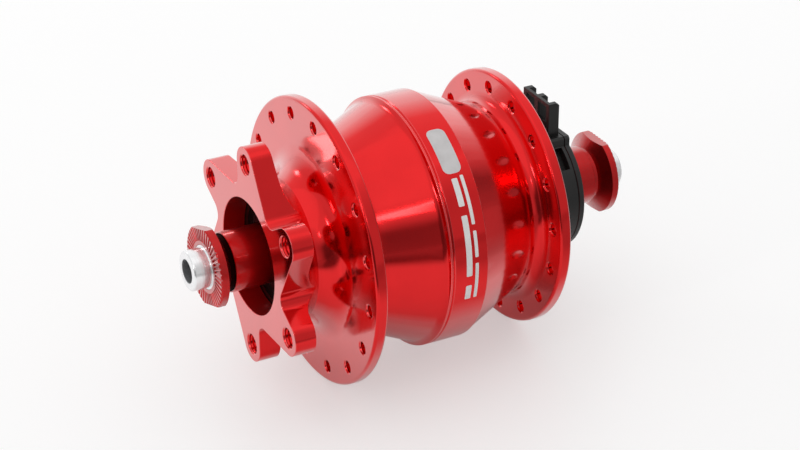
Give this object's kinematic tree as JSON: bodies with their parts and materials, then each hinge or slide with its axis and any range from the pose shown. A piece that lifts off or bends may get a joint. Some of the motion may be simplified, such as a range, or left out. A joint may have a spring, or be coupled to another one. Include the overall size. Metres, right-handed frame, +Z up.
{
  "type": "hub dynamo",
  "caption": "front bicycle hub with a claw-pole generator inside, disc rotor mount with swept arms, spoke flanges, quick-release axle and a side connector for lamp wires",
  "frame": {"origin": "on the axle axis, midway between the two faces that the fork grips", "axes": "Y along the axle, disc mount at -Y and connector at +Y; Z up, the way the connector tower points; X to the right hand of someone who looks along +Y"},
  "size_m": [0.0654, 0.108, 0.0654],
  "materials": {
    "red_anodised": "polished and anodised red",
    "silver_axle": "machined",
    "black_plastic": "satin moulded",
    "bearing_steel": "ground",
    "spring_steel": "dark oxide",
    "seal_rubber": "matte",
    "magnet": "nickel plated",
    "iron": "zinc plated sheet",
    "copper": "enamelled wire",
    "bobbin_plastic": "moulded",
    "wire_sleeve": "matte",
    "brass": "stamped"
  },
  "bodies": {
    "axle": {"axle": "silver_axle", "disc_side_end_cap": "red_anodised", "connector_side_end_cap": "red_anodised", "connector_housing": "black_plastic", "connector_cover": "black_plastic", "contact_blades": "brass", "lead_wires": "wire_sleeve", "connector_spacer": "bearing_steel", "disc_side_inner_race": "bearing_steel", "connector_side_inner_race": "bearing_steel", "stator_core": "iron", "disc_side_claw_pole": "iron", "connector_side_claw_pole": "iron", "coil_bobbin": "bobbin_plastic", "coil_winding": "copper", "stator_washer": "bearing_steel", "stator_nut": "bearing_steel"},
    "hub": {"disc_side_shell": "red_anodised", "connector_side_shell": "red_anodised", "seam_gasket": "seal_rubber", "flux_ring": "iron", "rotor_magnets": "magnet", "disc_side_outer_race": "bearing_steel", "connector_side_outer_race": "bearing_steel", "disc_side_bearing_seals": "seal_rubber", "connector_side_bearing_seals": "seal_rubber", "disc_side_circlip": "spring_steel", "connector_side_circlip": "spring_steel"},
    "disc_side_cage": {"disc_side_cage": "brass", "disc_side_balls": "bearing_steel"},
    "connector_side_cage": {"connector_side_cage": "brass", "connector_side_balls": "bearing_steel"}
  },
  "joints": [
    {"name": "hub_spin", "type": "hinge", "parent": "axle", "child": "hub", "pos_m": [0, 0, 0], "axis": [0, 1, 0], "continuous": true},
    {"name": "disc_side_cage_spin", "type": "hinge", "parent": "axle", "child": "disc_side_cage", "pos_m": [0, -0.029, 0], "axis": [0, 1, 0], "continuous": true},
    {"name": "connector_side_cage_spin", "type": "hinge", "parent": "axle", "child": "connector_side_cage", "pos_m": [0, 0.0215, 0], "axis": [0, 1, 0], "continuous": true}
  ],
  "couplings": [
    {"joint": "disc_side_cage_spin", "follows": "hub_spin", "ratio": 0.6322},
    {"joint": "connector_side_cage_spin", "follows": "hub_spin", "ratio": 0.6322}
  ]
}
